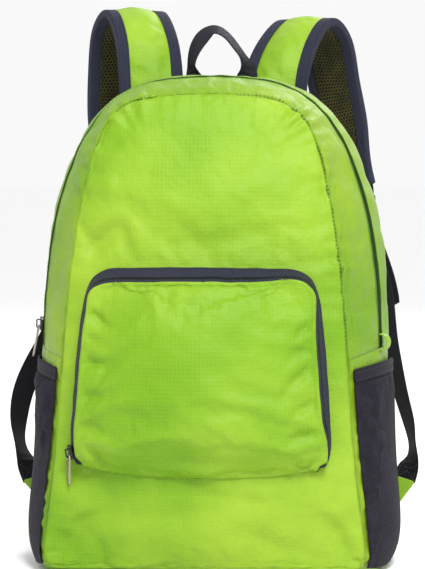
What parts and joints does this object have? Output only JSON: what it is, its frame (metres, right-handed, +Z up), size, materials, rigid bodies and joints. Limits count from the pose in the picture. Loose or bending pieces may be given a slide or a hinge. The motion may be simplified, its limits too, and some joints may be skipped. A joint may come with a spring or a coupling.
{
  "type": "hiking backpack",
  "caption": "Light daypack: a sewn bag with a wrap-over zip, a zipped front pocket, mesh side pockets, padded shoulder straps on webbing and a grab loop.",
  "frame": {"origin": "centre of the flat base, on the surface that the bag stands on", "axes": "+Z up through the bag, -Y out of the front pocket, +X towards the wearer's right side"},
  "size_m": [0.3759, 0.314, 0.4964],
  "materials": {
    "ripstop": "thin lime green ripstop nylon, soft sheen",
    "main_zip_tape": "dark green reverse coil zip, sunk between folded cloth edges",
    "zip_tape": "navy grey zip tape with a coil, matte",
    "pocket_mesh": "fine charcoal mesh, matte",
    "pocket_hem": "charcoal elastic hem, matte",
    "strap_mesh": "dark olive open air mesh",
    "strap_binding": "navy grey grosgrain binding, matte",
    "webbing": "black flat woven webbing, matte",
    "buckle": "black moulded acetal",
    "zip_slider": "black enamelled slider",
    "zip_pull": "dull bronze grey pull"
  },
  "bodies": {
    "root": {"front_panel": "ripstop", "back_panel": "ripstop", "front_gusset": "ripstop", "rear_gusset": "ripstop", "lower_gusset": "ripstop", "front_pocket": "ripstop", "foot_tab_left": "ripstop", "foot_tab_right": "ripstop", "zip_end_loop": "ripstop", "main_zip": "main_zip_tape", "pocket_zip": "zip_tape", "side_pocket_left": "pocket_mesh", "side_pocket_hem_left": "pocket_hem", "strap_pad_left": "ripstop", "strap_lining_left": "strap_mesh", "strap_binding_inner_left": "strap_binding", "strap_binding_outer_left": "strap_binding", "strap_tongue_left": "webbing", "webbing_left": "webbing", "ladder_lock_left": "buckle", "side_pocket_right": "pocket_mesh", "side_pocket_hem_right": "pocket_hem", "strap_pad_right": "ripstop", "strap_lining_right": "strap_mesh", "strap_binding_inner_right": "strap_binding", "strap_binding_outer_right": "strap_binding", "strap_tongue_right": "webbing", "webbing_right": "webbing", "ladder_lock_right": "buckle", "grab_loop": "webbing", "pocket_zip_slider": "zip_slider", "pocket_zip_pull": "zip_pull", "main_zip_slider": "zip_slider", "main_zip_pull": "zip_pull"}
  },
  "joints": []
}
